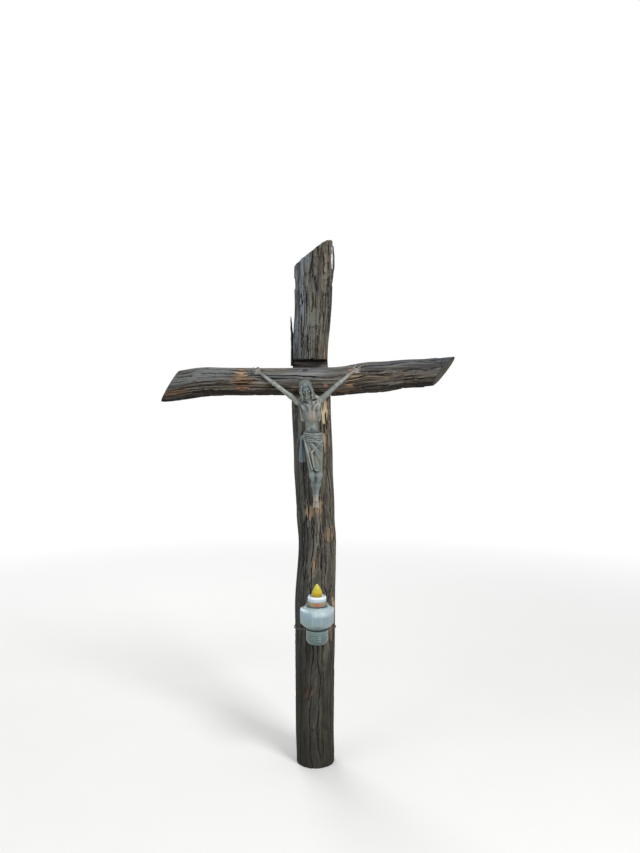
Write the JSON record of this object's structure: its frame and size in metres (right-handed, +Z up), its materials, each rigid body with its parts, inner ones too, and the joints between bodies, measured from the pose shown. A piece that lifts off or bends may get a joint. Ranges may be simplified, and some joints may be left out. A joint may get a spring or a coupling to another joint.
{
  "type": "wayside cross with votive lantern",
  "caption": "Rustic wayside cross of bark-covered logs in a lap joint, with a cast figure and a lidded votive lantern wired to the post.",
  "frame": {"origin": "centre of the post's foot, at ground level", "axes": "+Z up along the post, -Y the front that the figure faces, +X to the viewer's right along the crossbeam"},
  "size_m": [1.076, 0.3129, 1.945],
  "materials": {
    "bark_post": "weathered fissured bark",
    "bark_beam": "weathered fissured bark",
    "rusty_steel": "rusted",
    "cast_metal": "weathered silver-grey casting",
    "lantern_glass": "milky blown glass",
    "candle_plastic": "translucent",
    "wax": "candle wax",
    "wick": "charred cotton",
    "clear_plastic": "clear moulded plastic",
    "gold_band": "gold-coloured foil with a red print",
    "white_plastic": "satin moulded",
    "yellow_plastic": "satin moulded",
    "tie_wire": "dark insulated wire"
  },
  "bodies": {
    "cross": {"post": "bark_post", "crossbeam": "bark_beam", "bark_strip_left": "bark_post", "bark_strip_right": "bark_post", "beam_spike_upper": "rusty_steel", "beam_spike_lower": "rusty_steel", "corpus_body": "cast_metal", "corpus_arm_left": "cast_metal", "corpus_arm_right": "cast_metal", "nail_hand_left": "rusty_steel", "nail_hand_right": "rusty_steel", "nail_feet": "rusty_steel", "lantern_glass": "lantern_glass", "candle_cup": "candle_plastic", "candle_wax": "wax", "candle_wick": "wick", "tie_wire": "tie_wire"},
    "lantern_lid": {"lid_base": "clear_plastic", "lid_ring": "gold_band", "lid_cap": "white_plastic", "lid_flame": "yellow_plastic"}
  },
  "joints": [
    {"name": "lid_lift", "type": "slide", "parent": "cross", "child": "lantern_lid", "axis": [0, 0, 1], "range_m": [0, 0.08]}
  ]
}
